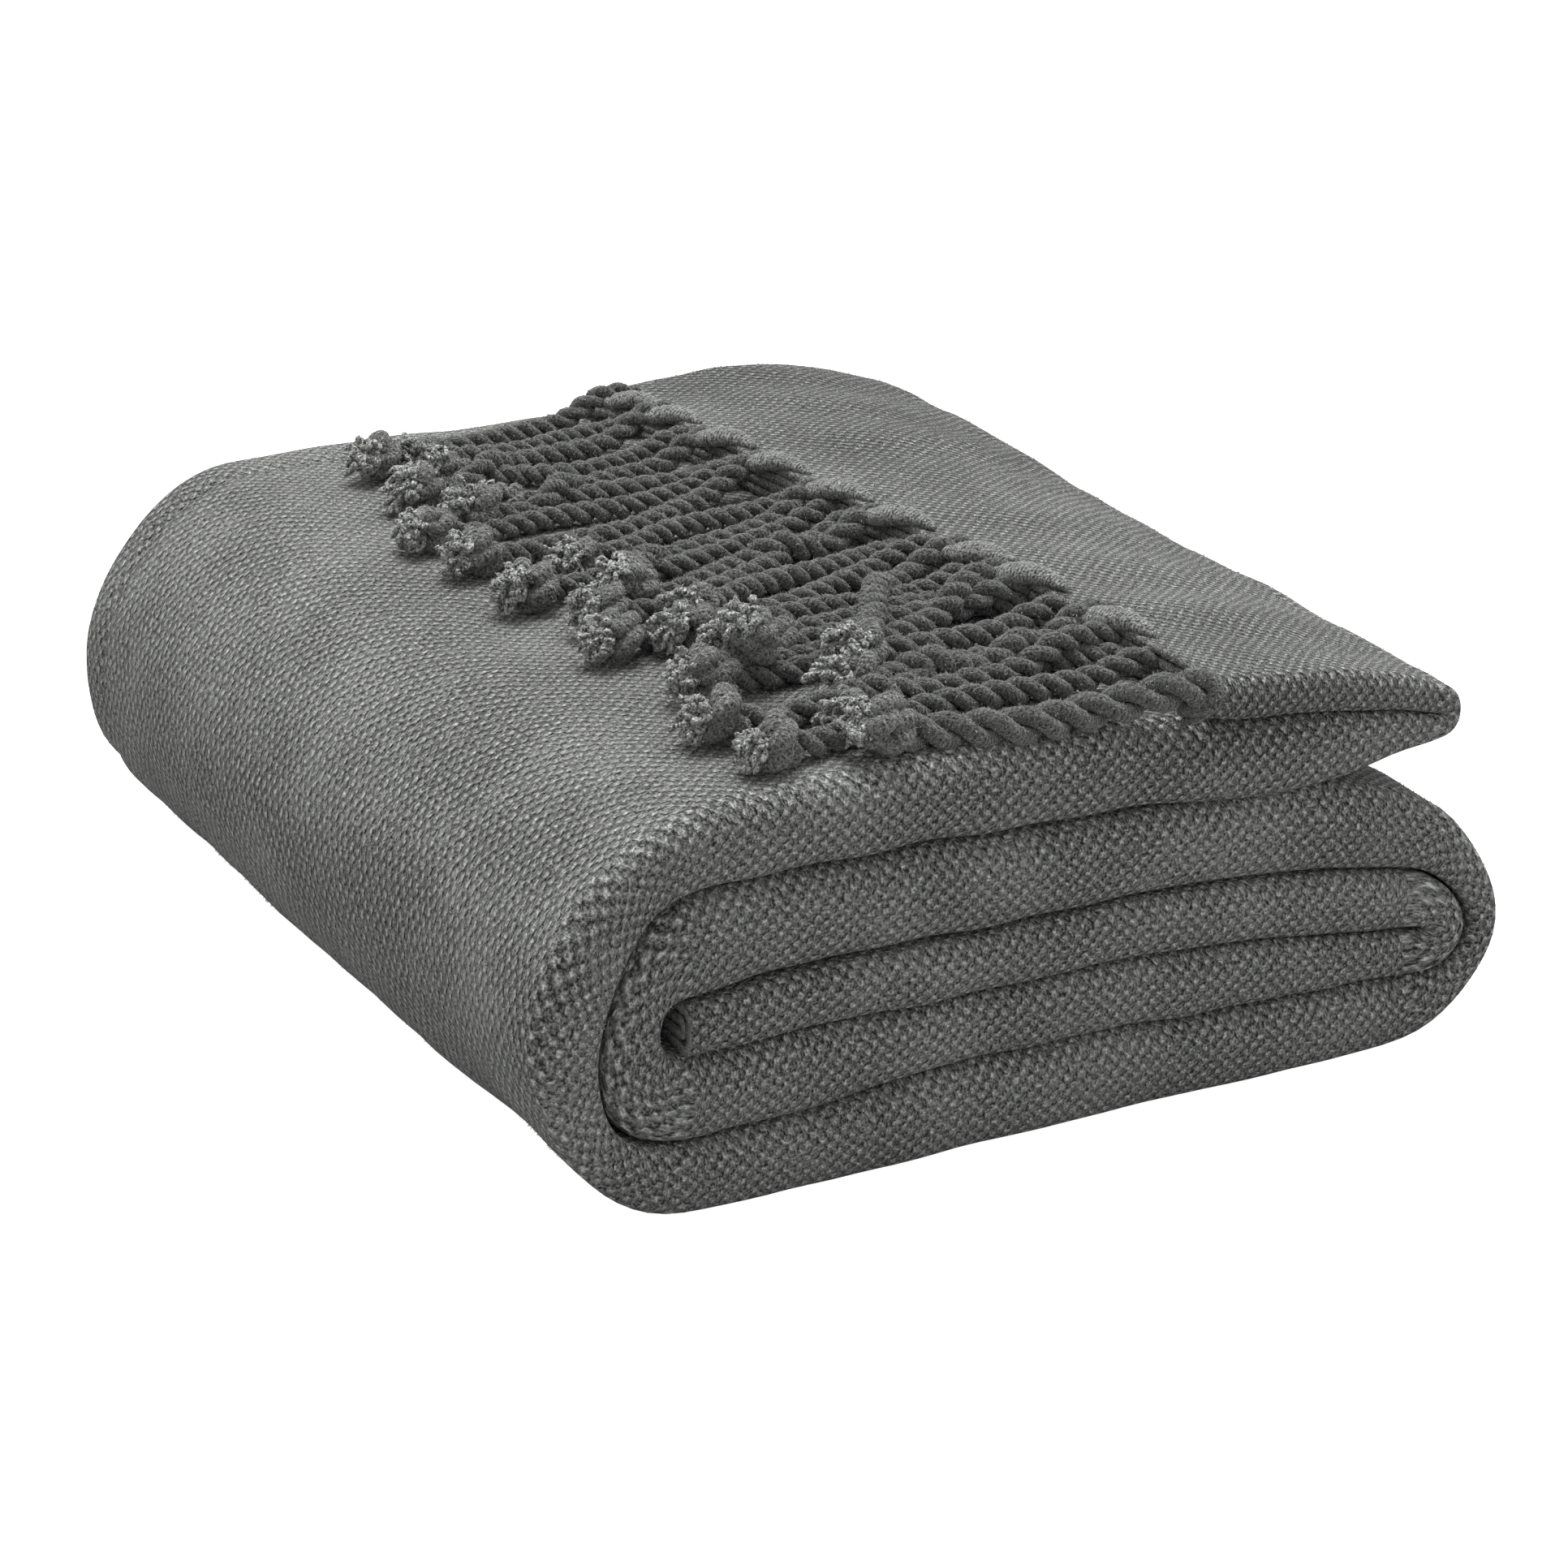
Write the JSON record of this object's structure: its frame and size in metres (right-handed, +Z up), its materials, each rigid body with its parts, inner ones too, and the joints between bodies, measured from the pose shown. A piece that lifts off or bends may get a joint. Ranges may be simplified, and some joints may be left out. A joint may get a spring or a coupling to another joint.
{
  "type": "chenille bedspread",
  "caption": "Grey chenille bedspread folded in four, rolled flat into a stack, with its knotted fringe lying on top.",
  "frame": {"origin": "centre of the stack's bounding box, at the level it rests on", "axes": "+Z up, the shortest side of the stack; +X to the right along the folded front; -Y is the front, where the rounded folds show"},
  "size_m": [0.2914, 0.316, 0.1291],
  "materials": {
    "chenille": "nubbly chenille weave, matt",
    "fringe_yarn": "twisted chenille yarn, matt"
  },
  "bodies": {
    "root": {"spread_cloth": "chenille", "fringe": "fringe_yarn"}
  },
  "joints": []
}
